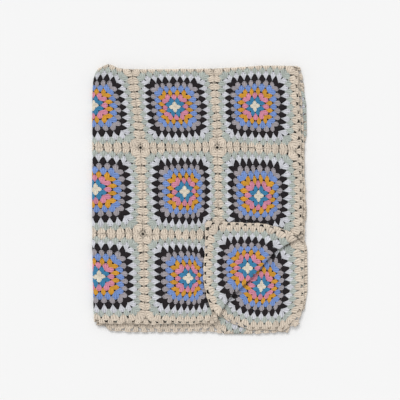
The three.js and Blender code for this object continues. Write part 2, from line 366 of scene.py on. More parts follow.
    def lie(self, across: Array, along: Array) -> tuple[Array, Array]:
        """Plan position of points of the pile.

        Args:
            across: Distance from the side fold.
            along: Distance from the top fold.

        Returns:
            Distances right and down from the corner where the folds meet.
        """
        inside, below = np.maximum(across, 0), np.maximum(along, 0)
        seam = self.square
        across_weights = cubic_weights((0, seam / 2, 3 * seam / 2, self.half_width), inside)
        first = seam + self.top_fold_v
        along_weights = cubic_weights((0, first, first + seam, self.plan_length), below)
        right, down = np.minimum(across, 0), np.minimum(along, 0)
        for i, (crossing_right, crossing_down) in enumerate(self.crossings):
            weight = across_weights[i % 4] * along_weights[i // 4]
            right = right + weight * crossing_right
            down = down + weight * crossing_down
        for square_across, square_along, drift_right, drift_down in self.drifts:
            a = np.abs(across - square_across * seam) / seam
            b = np.abs(along - square_along * seam - self.top_fold_v) / seam
            swing = (np.cos(np.pi * a) * np.cos(np.pi * b)) ** 2
            weight = np.where((a < 0.5) & (b < 0.5), swing, 0)
            right = right + weight * drift_right
            down = down + weight * drift_down
        near_top = np.exp(-below / self.ripple_depth)
        for at, out, spread in self.ripples:
            down = down - out * near_top * np.exp(-(((across - at) / spread) ** 2))
        ease, ease_across, ease_down = self.corner_ease
        right = right + ease * np.exp(-below / ease_down) * np.exp(-inside / ease_across)
        return right, down

    def lie_turned(self, flat: Array) -> tuple[Array, Array]:
        """Plan position of points of the turned corner, which lies as a stiff flap of its own."""
        tilt = math.radians(self.turned_tilt)
        sideways = (flat[:, 1] + (self.rows - 1) / 2 * self.square) * self.turned_scale_across
        upwards = (flat[:, 0] - (self.columns - 1) / 2 * self.square) * self.turned_scale_up
        right = self.turned_right + sideways * math.cos(tilt) + upwards * math.sin(tilt)
        down = self.turned_down + sideways * math.sin(tilt) - upwards * math.cos(tilt)
        return right, down

    def layer_shift(self, hang: Hang, across: Array, along: Array) -> tuple[Array, Array]:
        """Shift of a lower layer, which grows from nothing at the folds.

        Args:
            hang: How its free edges hang.
            across: Distance from the side fold.
            along: Distance from the top fold.

        Returns:
            Extra distances right and down.
        """
        across_share = np.maximum(across, 0) / self.half_width
        along_share = np.maximum(along, 0) / self.plan_length
        from_corner = np.hypot(self.half_width - across, self.plan_length - along)
        drawn = np.exp(-((from_corner / self.corner_reach) ** 2))
        right = eased_runs(self.side_points, hang.side, along_share)
        down = eased_runs(self.hem_points, hang.hem, across)
        right = right * across_share**self.side_growth + hang.corner[0] * drawn
        return right, down * along_share**self.hem_growth + hang.corner[1] * drawn

    def tuck(self, past: Array, level: Array, rows: Array) -> tuple[Array, Array]:
        """Carry points round a tuck of the third layer.

        Args:
            past: How far each point is past the tuck's line.
            level: Heights from the middle of the pile.
            rows: Which points may be tucked.

        Returns:
            The new distances past the line and the new heights.
        """
        radius = self.fold_radius
        middle = radius - self.side_fold_middle
        angle = np.clip(past / radius, 0, np.pi)
        arm = radius + level - middle
        out = arm * np.sin(angle) - np.maximum(past - np.pi * radius, 0)
        moved = rows & (past > 0)
        sunk = middle - radius + arm * np.cos(angle)
        return np.where(moved, out, past), np.where(moved, sunk, level)

    def fold(self, flat: Array) -> Array:
        """Carry flat points into the folded pile.

        Args:
            flat: Points u, v and w in millimetres.

        Returns:
            Their places in millimetres, from the corner where the folds meet.
        """
        u, v, w, turned = self.turn_corner(flat)
        from_side = u + self.lean(v)
        past_top = v - self.top_fold_v
        radius = self.fold_radius

        top_angle = np.clip(past_top / radius, 0, np.pi)
        top_arm = radius + w
        mid_height = self.side_fold_middle + radius * np.cos(top_angle)
        height = self.side_fold_middle + top_arm * np.cos(top_angle)
        after_bend = np.maximum(past_top - np.pi * radius, 0)
        along = np.where(past_top <= 0, -past_top, after_bend) - top_arm * np.sin(top_angle)

        past = np.maximum(-from_side, 0)
        side_angle = np.minimum(past / mid_height, np.pi)
        across = np.maximum(from_side, 0) + np.maximum(past - np.pi * mid_height, 0)
        across = across - height * np.sin(side_angle)
        level = height * np.cos(side_angle)

        right, down = self.lie(across, along)
        flap_right, flap_down = self.lie_turned(flat)
        right = right + (flap_right - right) * turned
        down = down + (flap_down - down) * turned
        upper, near = past_top <= 0, from_side >= 0
        third = ~upper & ~near
        layers = (~upper & near, self.second), (third, self.third), (upper & ~near, self.fourth)
        for rows, hang in layers:
            more_right, more_down = self.layer_shift(hang, across, along)
            right = right + np.where(rows, more_right, 0)
            down = down + np.where(rows, more_down, 0)
        table = np.array(self.side_tuck)
        line = eased_runs(table[:, 0], table[:, 1], down)
        past_hem, level = self.tuck(down - self.hem_tuck_down, level, third)
        past_side, level = self.tuck(right - line, level, third)
        right, down = line + past_side, self.hem_tuck_down + past_hem

        middle = self.side_fold_middle + radius
        over_width = np.sin(np.pi * np.clip(across / self.half_width, 0, 1)) ** 2
        over_length = np.sin(np.pi * np.clip(along / self.plan_length, 0, 1)) ** 2
        lifted = np.maximum(level + middle, 0) / (2 * middle)
        rise = self.swell * lifted * over_width * over_length
        return np.stack([right, -down, level + middle + self.thickness / 2 + rise], 1)

    def bends(self, u: Array, v: Array) -> Array:
        """Which places of the flat cloth lie in a fold, the crease or a tuck.

        Args:
            u: Places across the flat cloth.
            v: Places along it.

        Returns:
            True for each place in a bend.
        """
        from_side, past_top = u + self.lean(v), v - self.top_fold_v
        upper, near = past_top <= 0, from_side >= 0
        bend = within(past_top, self.top_bend)
        bend |= within(from_side, self.side_bend_upper) & upper
        bend |= within(from_side, self.side_bend_lower) & ~upper
        bend |= within(self.beyond_crease(u, v), self.crease_bend) & upper
        margin = self.tucked_margin
        tucked = (u < margin - self.half_width) | (v > self.half_length - margin)
        return bend | (~upper & ~near & tucked)


@dataclass
class Placer:
    """Puts points of the flat cloth where the CAD model has them, with a handmade unevenness."""

    pile: FoldedPile
    probe_step: float = 4.0
    uneven: float = 0.75
    wavelengths: tuple[float, ...] = (47.0, 71.0, 113.0)
    seed: int = 11
    shift: Array = field(init=False)
    phases: Array = field(init=False)
    waves: Array = field(init=False)

    def __post_init__(self) -> None:
        """Find the shift that lays the fold of the plain cloth on the CAD model."""
        pile = self.pile
        across = np.arange(-pile.half_width, pile.half_width + 1, self.probe_step)
        along = np.arange(-pile.half_length, pile.half_length + 1, self.probe_step)
        u, v, w = np.meshgrid(across, along, (-pile.thickness / 2, pile.thickness / 2))
        probe = pile.fold(np.stack([u.ravel(), v.ravel(), w.ravel()], 1)) * METRES
        low, high = (np.array(corner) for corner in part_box(NODE))
        own_low, own_high = probe.min(0), probe.max(0)
        shift = (low + high) / 2 - (own_low + own_high) / 2
        shift[2] = low[2] - own_low[2]
        self.shift = shift
        rng = np.random.default_rng(self.seed)
        angles = rng.uniform(0, 2 * np.pi, (2, len(self.wavelengths)))
        self.phases = rng.uniform(0, 2 * np.pi, (2, len(self.wavelengths)))
        self.waves = 2 * np.pi * np.stack([np.cos(angles), np.sin(angles)], 2)
        self.waves /= np.array(self.wavelengths)[None, :, None]

    def wander(self, flat: Array) -> Array:
        """Move flat points a little, as hand tension does."""
        moved = flat.copy()
        for axis in range(2):
            phase = flat[:, :2] @ self.waves[axis].T + self.phases[axis]
            moved[:, axis] += self.uneven * np.sin(phase).sum(1)
        return moved

    def place(self, flat: Array) -> Array:
        """Places of flat points in the row's frame, in metres."""
        return self.pile.fold(self.wander(flat)) * METRES + self.shift


@dataclass
class Cover:
    """Finds the places of the flat cloth that lie under or over other layers, for their painted
    shade and their detail.
    """

    placer: Placer
    step: float = 12.0
    clear: float = 0.003
    slant: float = 0.7
    open_share: float = 0.8

    def __post_init__(self) -> None:
        """Fold a coarse sheet to cast rays at."""
        pile = self.placer.pile
        across = np.arange(-pile.half_width, pile.half_width + self.step, self.step)
        along = np.arange(-pile.half_length, pile.half_length + self.step, self.step)
        u, v = np.meshgrid(across.clip(max=pile.half_width), along.clip(max=pile.half_length))
        flat = raised(np.stack([u.ravel(), v.ravel()], 1))
        faces = grid_faces(u.shape).reshape(-1, 4)
        self.sheet = BVHTree.FromPolygons(self.placer.place(flat).tolist(), faces.tolist())

    def blocked(self, places: Array, way: int) -> Array:
        """Share of a fan of rays that another layer stops.

        Args:
            places: Places of points, in metres.
            way: 1 to look up, -1 to look down.

        Returns:
            A share from 0 to 1 for each point.
        """
        slants = [(0, 0), (self.slant, 0), (-self.slant, 0), (0, self.slant), (0, -self.slant)]
        rays = [Vector((x, y, way)).normalized() for x, y in slants]
        lift = Vector((0, 0, way * self.clear))
        stopped = []
        for place in places.tolist():
            start = Vector(place) + lift
            hits = sum(self.sheet.ray_cast(start, ray)[0] is not None for ray in rays)
            stopped.append(hits / len(rays))
        return np.array(stopped)

    def survey(self, flat: Array) -> tuple[Array, Array]:
        """Find how deep in the pile flat points lie, which sets the painted shade on them, and how
        finely to make their stitches.

        Args:
            flat: Points u and v.

        Returns:
            The painted shade on each point, from 0 to 1, which is 1 only where other layers cover
            it fully above and below and 0 in bends, and the index of its Detail.
        """
        places = self.placer.place(raised(flat))
        above, below = self.blocked(places, 1), self.blocked(places, -1)
        deepest = np.minimum(above, below)
        buried = np.clip((deepest - self.open_share) / (1 - self.open_share), 0, 1)
        order = list(Detail)
        chosen = np.full(len(flat), order.index(Detail.FULL))
        chosen[above == 1] = order.index(Detail.PLAIN)
        chosen[buried == 1] = order.index(Detail.HIDDEN)
        bend = self.placer.pile.bends(flat[:, 0], flat[:, 1])
        chosen[bend & (buried < 1)] = order.index(Detail.BEND)
        return np.where(bend, 0, buried), chosen


# ---- Meshes ----


def linked(name: str, data: bpy.types.ID) -> bpy.types.Object:
    """A new object in the scene that shows a mesh, light or camera."""
    made = bpy.data.objects.new(name, data)
    bpy.context.collection.objects.link(made)
    return made


# what a finish reads at each point: the attribute's kind, its key and its shape
LOOKS = {
    "cloth": ("FLOAT_VECTOR", "vector", (3,)),
    "crevice": ("FLOAT", "value", ()),
    "tone": ("FLOAT", "value", ()),
    "buried": ("FLOAT", "value", ()),
    "ply": ("FLOAT_VECTOR", "vector", (3,)),
    "tint": ("FLOAT_COLOR", "color", (4,)),
}


@dataclass
class ClothMesh:
    """One piece of the cloth, gathered as grids of points of the flat layout."""

    name: str
    slot: str
    placer: Placer
    flat: list[Array] = field(default_factory=list)
    faces: list[Array] = field(default_factory=list)
    looks: dict[str, list[Array]] = field(default_factory=dict)
    count: int = 0

    def add(self, points: Array, faces: Array, **looks: Array) -> None:
        """Add points and faces.

        Args:
            points: Flat places of the points.
            faces: Corner numbers, four a face, from the first of these points.
            looks: crevice, the painted shade deep in the stitches at each point, and buried, the
            painted shade where other layers cover it, each from 0 to 1; tone, how light its stitch
            is;
            ply, cosine and sine round the yarn and the distance along it; and tint, the colour of
            the yarn there.
        """
        shape = points.shape[:-1]
        self.flat.append(points.reshape(-1, 3))
        self.faces.append(faces.reshape(-1, 4) + self.count)
        for name, values in looks.items():
            size = LOOKS[name][2]
            spread = np.broadcast_to(values, (*shape, *size)).reshape(-1, *size)
            self.looks.setdefault(name, []).append(spread)
        self.count += math.prod(shape)

    def build(self) -> bpy.types.Object:
        """Make the Blender object, riding on the root body."""
        flat, faces = np.concatenate(self.flat), np.concatenate(self.faces)
        mesh = bpy.data.meshes.new(self.name)
        mesh.vertices.add(len(flat))
        mesh.vertices.foreach_set("co", self.placer.place(flat).astype(np.float32).ravel())
        mesh.loops.add(faces.size)
        mesh.loops.foreach_set("vertex_index", faces.astype(np.int32).ravel())
        mesh.polygons.add(len(faces))
        mesh.polygons.foreach_set("loop_start", np.arange(0, faces.size, 4, dtype=np.int32))
        mesh.polygons.foreach_set("use_smooth", np.ones(len(faces), bool))
        mesh.update(calc_edges=True)
        for name, parts in {"cloth": [flat * (METRES, METRES, 0)], **self.looks}.items():
            kind, key, _ = LOOKS[name]
            layer = mesh.attributes.new(name, kind, "POINT")
            layer.data.foreach_set(key, np.concatenate(parts).astype(np.float32).ravel())
        pile = self.placer.pile
        span = 2 * (np.array([pile.half_width, pile.half_length]) + pile.edging)
        layout = mesh.uv_layers.new(name="OFBake")
        corners = (flat[:, :2] / span + 0.5)[faces.ravel()]
        layout.data.foreach_set("uv", corners.astype(np.float32).ravel())
        mesh.validate()
        piece = linked(self.name, mesh)
        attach(piece, "root")
        log.info("%s: %d faces", self.name, len(faces))
        return piece


@dataclass(frozen=True)
class YarnRun:
    """Many lengths of yarn of the same make, swept together as tubes in the flat layout."""

    centres: Array
    half_width: Array
    half_thick: Array
    tone: Array
    buried: Array
    sides: int
    foot_shade: float = 0.45
    foot_fade: int = 3

    def sideways(self) -> Array:
        """Direction across each run at each of its rings, level with the cloth."""
        return to_right(unit(np.gradient(self.centres[:, :, :2], axis=1)))

    def sweep(self, mesh: ClothMesh) -> None:
        """Add the tubes to a mesh."""
        runs, rings = self.centres.shape[:2]
        sides = self.sides
        start = np.pi / 2 if sides % 2 else 0.0
        turn = start + 2 * np.pi * np.arange(sides) / sides
        points = np.repeat(self.centres[:, :, None, :], sides, 2)
        reach = self.half_width[:, :, None] * np.cos(turn)
        points[..., :2] += reach[..., None] * self.sideways()[:, :, None, :]
        points[..., 2] += self.half_thick[:, :, None] * np.sin(turn)
        step = np.linalg.norm(np.diff(self.centres, axis=1), axis=2)
        gone = np.concatenate([np.zeros((runs, 1)), np.cumsum(step, 1)], 1)
        # painted shade: darker at the sides of each post, where the posts meet, and towards its
        # foot
        painted_foot_shade = self.foot_shade * (1 - np.linspace(0, 1, rings)) ** self.foot_fade
        crevice = np.cos(turn)[None, None, :] ** 2 + painted_foot_shade[None, :, None]
        shape = (runs, rings, sides)
        ply = (np.cos(2 * turn), np.sin(2 * turn), gone[:, :, None])
        number = np.arange(runs * rings * sides).reshape(shape)
        beside = np.roll(number, -1, 2)
        mesh.add(
            points,
            np.stack([number[:, :-1], number[:, 1:], beside[:, 1:], beside[:, :-1]], 3),
            crevice=np.clip(crevice, 0, 1),
            tone=self.tone[:, None, None],
            buried=self.buried[:, None, None],
            ply=np.stack([np.broadcast_to(part, shape) for part in ply], 3),
        )


# ---- Crochet ----


@dataclass(frozen=True)
class Clusters:
    """Clusters of three treble stitches, each standing in a hole of the round before.

    The tables run up a cluster or along its top chain: places as shares, then values, or values
    alone where the places are the points of the chain or the rows of the body.
    """

    base: Array
    left: Array
    right: Array
    top: Array
    roof: Array
    width: Array
    point: Array
    tone: Array
    buried: Array
    foot: float = -3.0
    thick: float = 2.0
    lift: float = 0.25
    chain_radius: float = 1.35
    chain_rise: float = 0.3
    chain_height: float = 0.75
    hole_height: float = -0.1
    side_roof: float = 0.5
    post_wobble: float = 0.25
    post_tone: float = 0.35
    puff: float = 0.07
    puff_rings: int = 5
    least_share: float = 0.02
    least_fan: float = 0.16
    body: float = 0.93
    body_roof: float = 0.8
    body_tip: float = 0.45

    PLACES = ("base", "left", "right", "top")
    PARTS = (*PLACES, "roof", "width", "point", "tone", "buried")
    FAN_TAPER = ((0, 0.7, 1.1), (1, 0.84, 0.5))
    POST_TAPER = ((0, 0.12, 0.88, 1), (0.85, 1, 1, 0.7))
    POST_THICK = ((0, 0.2, 0.6, 0.9, 1), (0.5, 0.85, 1, 0.85, 0.4))
    CHAIN_ACROSS = (-0.98, -0.6, 0, 0.6, 0.98)
    CHAIN_ROOF = (0.06, 0.5, 1.0, 0.5, 0.06)
    CHAIN_SWELL = (0.85, 1.0, 1.12, 1.0, 1.12, 1.0, 0.85)
    BODY_ROWS = (-0.15, 0.32, 0.66, 1.0)

    @classmethod
    def made(cls, *places: Array, **shapes: Array | float) -> "Clusters":
        """Clusters in the open, at their PLACES, each shape an array or one number for all."""
        count = len(places[0])
        spread = {name: np.broadcast_to(value, count) for name, value in shapes.items()}
        return cls(*places, **spread, buried=np.zeros(count))

    def pick(self, rows: Array) -> "Clusters":
        """The same clusters, only the rows asked for."""
        return Clusters(*(getattr(self, part)[rows] for part in self.PARTS))

    def moved(self, by: Array) -> "Clusters":
        """The same clusters, moved in the flat layout."""
        return replace(self, **{place: getattr(self, place) + by for place in self.PLACES})

    @classmethod
    def joined(cls, groups: list["Clusters"]) -> "Clusters":
        """Several groups of clusters as one."""
        return cls(*(np.concatenate([getattr(g, part) for g in groups]) for part in cls.PARTS))

    @property
    def height(self) -> Array:
        """From the base of each cluster to its own chain line, one row a cluster."""
        return np.linalg.norm(self.top - self.base, axis=1)[:, None]

    def half_width(self, x: Array) -> Array:
        """Half the width of each cluster's fan.

        Args:
            x: Distances up each cluster, one row a cluster.

        Returns:
            The half width at each.
        """
        share = np.clip((x - self.foot) / (self.height - self.foot), self.least_share, 1)
        fan = np.maximum(share ** self.point[:, None], self.least_fan)
        past = (x - self.height) / np.maximum(self.roof[:, None], 1)
        return self.width[:, None] / 2 * fan * np.interp(past, *self.FAN_TAPER)

    def local(self, across: Array, up_by: Array, w: Array | float = 0.0) -> Array:
        """Flat places from distances across and up each cluster."""
        up = (self.top - self.base) / self.height
        plan = self.base[:, None, :] + up[:, None, :] * up_by[..., None]
        return raised(plan + to_right(up)[:, None, :] * across[..., None], w)

    def posts(self, detail: Detail, yarn: Yarn, mesh: ClothMesh, rng: np.random.Generator) -> None:
        """Add the three posts of every cluster."""
        rings, sides, _ = detail.value
        share = np.linspace(0, 1, rings)[None, :]
        for post in (-1, 0, 1):
            end = self.height + self.roof[:, None] * (self.side_roof if post else 1.0)
            x = self.foot + (end - self.foot) * share
            fan = self.half_width(x)
            wobble = rng.normal(0, self.post_wobble, (len(self.base), 1))
            across = post * fan * 2 / 3 + wobble * share
            half = fan / 3 * yarn.tension.overlap
            if rings >= self.puff_rings:
                half = half * (1 + self.puff * np.cos(share * (rings - 1) * np.pi))
            half = half * np.interp(share, *self.POST_TAPER)
            thick = self.thick * np.interp(share, *self.POST_THICK)
            tone = self.tone + rng.normal(0, self.post_tone, len(self.base))
            centres = self.local(across, x, self.lift * np.sin(np.pi * share))
            YarnRun(centres, half, thick, tone, self.buried, sides).sweep(mesh)

    def chains(self, detail: Detail, mesh: ClothMesh) -> None:
        """Add the chain that runs over the tops of every cluster and across its holes."""
        sides = detail.value[2]
        if not sides:
            return
        across = self.half_width(self.height) * np.array(self.CHAIN_ACROSS)
        up_by = self.height + self.roof[:, None] * np.array(self.CHAIN_ROOF) + self.chain_rise
        inner = self.local(across, up_by, self.chain_height)
        ends = raised(np.stack([self.left, self.right], 1), self.hole_height)
        centres = np.concatenate([ends[:, :1], inner, ends[:, 1:]], 1)
        radius = np.array([self.CHAIN_SWELL]) * self.chain_radius
        YarnRun(centres, radius, radius, self.tone, self.buried, sides).sweep(mesh)

    def lay_flat(self, flat: Array, faces: Array, tint: Array, mesh: ClothMesh) -> None:
        """Add patches of every cluster's body, in the middle surface, marked as lying in the
        deepest painted shade.
        """
        rows = (-1, *[1] * (flat.ndim - 2))
        mesh.add(
            flat,
            faces,
            crevice=1.0,
            tone=self.tone.reshape(rows),
            buried=self.buried.reshape(rows),
            ply=0.0,
            tint=tint,
        )

    def ground(self, tint: Array, mesh: ClothMesh) -> None:
        """Add the flat body of every cluster."""
        tip = self.height + self.roof[:, None] * self.body_roof
        x = np.concatenate([np.array(self.BODY_ROWS) * self.height, tip], 1)
        half = self.body * self.half_width(x)
        half[:, -1] *= self.body_tip
        flat = np.stack([self.local(side * half, x) for side in (-1, 0, 1)], 2)
        self.lay_flat(flat, grid_faces(flat.shape[:3]), tint, mesh)

    def spaces(self, tint: Array, mesh: ClothMesh) -> None:
        """Add the flat chain spaces on both sides of every cluster, which join it to the next."""
        fan = self.body * self.half_width(self.height)
        for hole, side in ((self.left, -1), (self.right, 1)):
            near = self.local(side * fan, self.height)[:, 0, :2]
            beside = to_right(unit(near - hole)) * self.chain_radius
            plan = np.stack([hole + beside, near + beside, near - beside, hole - beside], 1)
            self.lay_flat(raised(plan), np.arange(len(hole) * 4), tint, mesh)


@dataclass(frozen=True)
class RoundShape:
    """One round of a square: where its chain line is, and the shape of its clusters.

    reach is the distance from the middle of the square to the chain line, roof how far each
    cluster's top stands past it, and width the cluster's widest. point is 1 for a wedge with a
    sharp foot and near 0 for an oval. roundness is 1 for a ring and 0 for a square.
    """

    reach: float
    roof: float
    width: float
    point: float
    roundness: float


@dataclass(frozen=True)
class GrannySquare:
    """One granny square, whose clusters stand in the holes of the round before."""

    ring_hole: float = 2.4
    joined_roof: float = 0.2
    corner_spread: float = 0.07
    roof_range: tuple[float, float] = (0.9, 1.1)
    width_range: tuple[float, float] = (0.95, 1.05)
    rounds: tuple[RoundShape, ...] = (
        RoundShape(12.0, 6.8, 13.8, 0.42, 0.62),
        RoundShape(24.6, 6.6, 15.0, 0.42, 0.58),
        RoundShape(37.2, 6.4, 16.6, 0.42, 0.50),
        RoundShape(49.7, 6.6, 13.6, 0.32, 0.42),
        RoundShape(62.3, 6.4, 18.6, 0.50, 0.40),
        RoundShape(74.8, 6.4, 15.8, 0.42, 0.40),
        RoundShape(87.4, 10.0, 14.6, 0.26, 0.40),
        RoundShape(101.2, 7.6, 18.8, 0.90, 0.32),
        RoundShape(113.6, 5.6, 21.5, 0.52, 0.20),
        RoundShape(127.2, 4.0, 24.4, 0.36, 0.03),
    )

    def ring_point(self, number: int, side: int, share: Array) -> Array:
        """Places of the holes of a round.

        Args:
            number: The round.
            side: The side of the square, from 0 to 3.
            share: From 0 at the side's first corner to 1 at its second.

        Returns:
            Places from the middle of the square, one row a hole.
        """
        reach, soft = self.ring_hole, 1.0
        if number:
            shape = self.rounds[number - 1]
            reach, soft = shape.reach, shape.roundness
        along = 2 * share - 1
        angle = along * np.pi / 4
        across = reach * (along * (1 - soft) + np.sin(angle) * soft)
        out = reach * ((1 - soft) + np.cos(angle) * soft)
        return side_places(side, across, out)

    def clusters(self, yarn: Yarn, side: int, outer: bool, rng: np.random.Generator) -> Clusters:
        """The clusters of one round along one side.

        Args:
            yarn: The yarn, which says the round.
            side: The side of the square.
            outer: Whether the side lies on the edge of the throw.
            rng: Source of the small differences between stitches.

        Returns:
            The clusters, from the middle of the square.
        """
        number = yarn.round
        place = np.arange(number)
        before = place / (number - 1) if number > 1 else np.array([0.5])
        base = self.ring_point(number - 1, side, before)
        left = self.ring_point(number, side, place / number)
        right = self.ring_point(number, side, (place + 1) / number)
        pull = np.zeros(number)
        if number > 1:
            pull[0], pull[-1] = self.corner_spread, -self.corner_spread
        top = left + (right - left) * (0.5 + pull)[:, None]
        top = top + rng.normal(0, yarn.tension.stray, top.shape)
        shape = self.rounds[number - 1]
        joined = yarn is Yarn.BEIGE and not outer
        roof = self.joined_roof if joined else shape.roof
        return Clusters.made(
            base,
            left,
            right,
            top,
            roof=roof * rng.uniform(*self.roof_range, number),
            width=shape.width * rng.uniform(*self.width_range, number),
            point=shape.point,
            tone=rng.normal(0, TONE_SPREAD, number),
        )


@dataclass
class CrochetedThrow:
    """All the crochet of the throw, one piece for each yarn."""

    placer: Placer
    square: GrannySquare = field(default_factory=GrannySquare)
    edge_name: str = "edging_and_seams"
    edge_pitch: float = 25.8
    edge_height: float = 10.2
    edge_roof: tuple[float, float] = (0.5, 1.5)
    edge_width: float = 19.0
    edge_point: float = 0.4
    edge_corner: float = 7.0
    edge_inset: float = 1.0
    edge_dip: float = 1.5
    corner_height: float = 0.8
    corner_roof: float = 0.6
    corner_width: float = 0.8
    seam_length: float = 9.0
    seam_apart: float = 12.9
    seam_radius: float = 1.2
    seam_sides: int = 5
    seam_skew: float = 0.5
    seam_tone: float = 0.4
    # places along a seam stitch, and its height there
    seam_reach: tuple[float, ...] = (-1, -0.5, 0, 0.5, 1)
    seam_rise: tuple[float, ...] = (-0.6, 0.9, 1.3, 0.9, -0.6)
    seed: int = 7

    def __post_init__(self) -> None:
        """Start the random numbers and find what covers what."""
        self.rng = np.random.default_rng(self.seed)
        self.cover = Cover(self.placer)

    def round_clusters(self, yarn: Yarn) -> Clusters:
        """The clusters of one yarn's round in every square."""
        pile = self.placer.pile
        groups = []
        for column in range(pile.columns):
            for row in range(pile.rows):
                on_edge = (column == pile.columns - 1, row == pile.rows - 1, column == 0, row == 0)
                u, v = column - (pile.columns - 1) / 2, row - (pile.rows - 1) / 2
                for side, outer in enumerate(on_edge):
                    own = self.square.clusters(yarn, side, outer, self.rng)
                    groups.append(own.moved(np.array([u, v]) * pile.square))
        return Clusters.joined(groups)

    def edge_clusters(self) -> Clusters:
        """The row of clusters round the whole throw, then those on its four corners."""
        half = self.placer.pile.half_squares
        inset, gap = self.edge_inset, self.edge_pitch / 2
        groups = []
        for side in range(4):
            along, out = half[(side + 1) % 2], half[side % 2] - inset
            steps = round(2 * along / self.edge_pitch)
            place = (np.arange(steps + 1) / steps - 0.5) * 2 * along
            limit, near = along + self.edge_corner, along - inset
            line = out + self.edge_height
            dip = np.where(np.abs(place) > near, line - self.edge_dip, line)
            groups.append(
                Clusters.made(
                    side_places(side, np.clip(place, -near, near), out),
                    side_places(side, np.clip(place - gap, -limit, limit), dip),
                    side_places(side, np.clip(place + gap, -limit, limit), dip),
                    side_places(side, np.clip(place, -along - inset, along + inset), line),
                    roof=self.rng.uniform(*self.edge_roof, len(place)),
                    width=self.edge_width,
                    point=self.edge_point,
                    tone=self.rng.normal(0, TONE_SPREAD, len(place)),
                )
            )
        signs = np.array([(-1, -1), (-1, 1), (1, -1), (1, 1)])
        base = signs * (np.array(half) - inset)
        top = base + signs * self.edge_height * self.corner_height
        across = -to_right(signs) * self.edge_corner
        groups.append(
            Clusters.made(
                base,
                top - across,
                top + across,
                top,
                roof=self.corner_roof,
                width=self.edge_width * self.corner_width,
                point=self.edge_point,
                tone=0.0,
            )
        )
        return Clusters.joined(groups)

    def work(self, clusters: Clusters, yarn: Yarn, mesh: ClothMesh, ground: ClothMesh) -> None:
        """Add clusters to the piece of their yarn, and their bodies to the ground.

        Args:
            clusters: The clusters.
            yarn: Their yarn.
            mesh: The piece of that yarn.
            ground: The sheet of all the clusters' bodies.
        """
        tint = np.array(yarn.colour)
        # the painted shade under other layers, and how finely to make each cluster
        buried, chosen = self.cover.survey(clusters.top)
        clusters = replace(clusters, buried=buried)
        for i, detail in enumerate(Detail):
            own = clusters.pick(chosen == i)
            if len(own.base):
                own.posts(detail, yarn, mesh, self.rng)
                own.chains(detail, mesh)
        clusters.ground(tint, ground)
        clusters.spaces(tint, ground)

    def seams(self, mesh: ClothMesh) -> None:
        """Add the stitches that join the squares, two side by side at each hole."""
        pile = self.placer.pile
        counts, half = (pile.columns, pile.rows), pile.half_squares
        for way in range(2):
            holes = counts[1 - way] * len(Yarn)
            place = np.linspace(-half[1 - way], half[1 - way], holes + 1)[1:-1]
            for line in range(1, counts[way]):
                at = line * pile.square - half[way]
                for beside in (-self.seam_apart / 2, self.seam_apart / 2):
                    skew = self.rng.normal(0, self.seam_skew, len(place))
                    reach = self.seam_length / 2 * np.array(self.seam_reach)
                    across = at + reach[None, :] + 0 * place[:, None]
                    along = (place + beside)[:, None] + skew[:, None] * reach / self.seam_length
                    plan = np.stack([along, across] if way else [across, along], 2)
                    centres = raised(plan, self.seam_rise)
                    radius = np.full(across.shape, self.seam_radius)
                    # the painted shade under other layers
                    buried, _ = self.cover.survey(centres[:, 2, :2])
                    tone = self.rng.normal(0, self.seam_tone, len(place))
                    YarnRun(centres, radius, radius, tone, buried, self.seam_sides).sweep(mesh)

    def build(self) -> tuple[bpy.types.Object, list[bpy.types.Object]]:
        """Make every piece.

        Returns:
            The sheet of the clusters' bodies, and the yarn pieces on it.
        """
        ground = ClothMesh("cluster_bodies", Yarn.BEIGE.slot, self.placer)
        work = [(yarn, f"{yarn.name.lower()}_round") for yarn in Yarn]
        pieces = []
        for yarn, name in [*work, (Yarn.BEIGE, self.edge_name)]:
            mesh = ClothMesh(name, yarn.slot, self.placer)
            edging = name == self.edge_name
            clusters = self.edge_clusters() if edging else self.round_clusters(yarn)
            self.work(clusters, yarn, mesh, ground)
            if edging:
                self.seams(mesh)
            piece = mesh.build()
            YarnFinish(yarn).dress(piece)
            pieces.append(piece)
        sheet = ground.build()
        BodyFinish().dress(sheet)
        return sheet, pieces


# ---- Finishes ----


